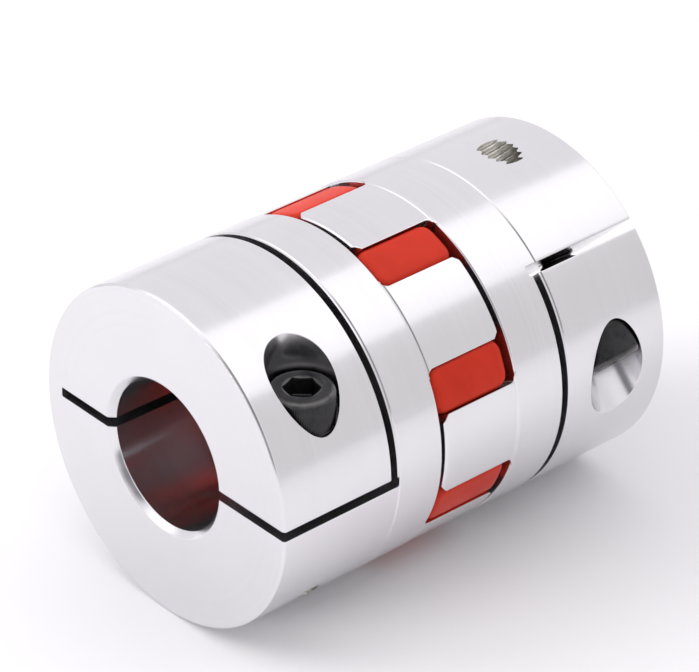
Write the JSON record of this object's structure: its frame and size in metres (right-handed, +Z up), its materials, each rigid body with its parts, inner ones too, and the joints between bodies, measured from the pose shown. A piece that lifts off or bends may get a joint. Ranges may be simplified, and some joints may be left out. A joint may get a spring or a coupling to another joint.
{
  "type": "jaw coupling",
  "caption": "Clamp-type jaw coupling: two bright aluminium hubs with interlocking jaws, a red elastic spider between them and a clamp screw in each hub.",
  "frame": {"origin": "on the shaft axis, midway between the two hubs' outer faces", "axes": "+X along the shaft from the front hub to the rear hub; +Z up, along the front hub's clamp screw towards its head; the front hub's clamp slit is level and opens towards -Y"},
  "size_m": [0.078, 0.0568, 0.055],
  "materials": {
    "hub_aluminium": "bright turned and milled, satin",
    "spider_polyurethane": "moulded, smooth, slightly glossy",
    "screw_black_oxide": "black oxide, lightly oiled"
  },
  "bodies": {
    "hub_front": {"hub_front": "hub_aluminium"},
    "spider": {"spider": "spider_polyurethane"},
    "hub_rear": {"hub_rear": "hub_aluminium"},
    "screw_front": {"screw_front": "screw_black_oxide"},
    "screw_rear": {"screw_rear": "screw_black_oxide"}
  },
  "joints": [
    {"name": "pull_apart", "type": "slide", "parent": "hub_front", "child": "spider", "axis": [1, 0, 0], "range_m": [0, 0.018]},
    {"name": "wind_up", "type": "hinge", "parent": "spider", "child": "hub_rear", "pos_m": [0, 0, 0], "axis": [1, 0, 0], "range_deg": [-2, 2], "stiffness_Nm_per_rad": 2000, "deforming": ["spider"]},
    {"name": "front_screw_turn", "type": "hinge", "parent": "hub_front", "child": "screw_front", "pos_m": [-0.0286, -0.0193, 0.0117], "axis": [0, 0, 1], "range_deg": [0, 450]},
    {"name": "rear_screw_turn", "type": "hinge", "parent": "hub_rear", "child": "screw_rear", "pos_m": [0.0286, -0.02192, 0.00537], "axis": [0, -0.7071, -0.7071], "range_deg": [0, 450]}
  ]
}
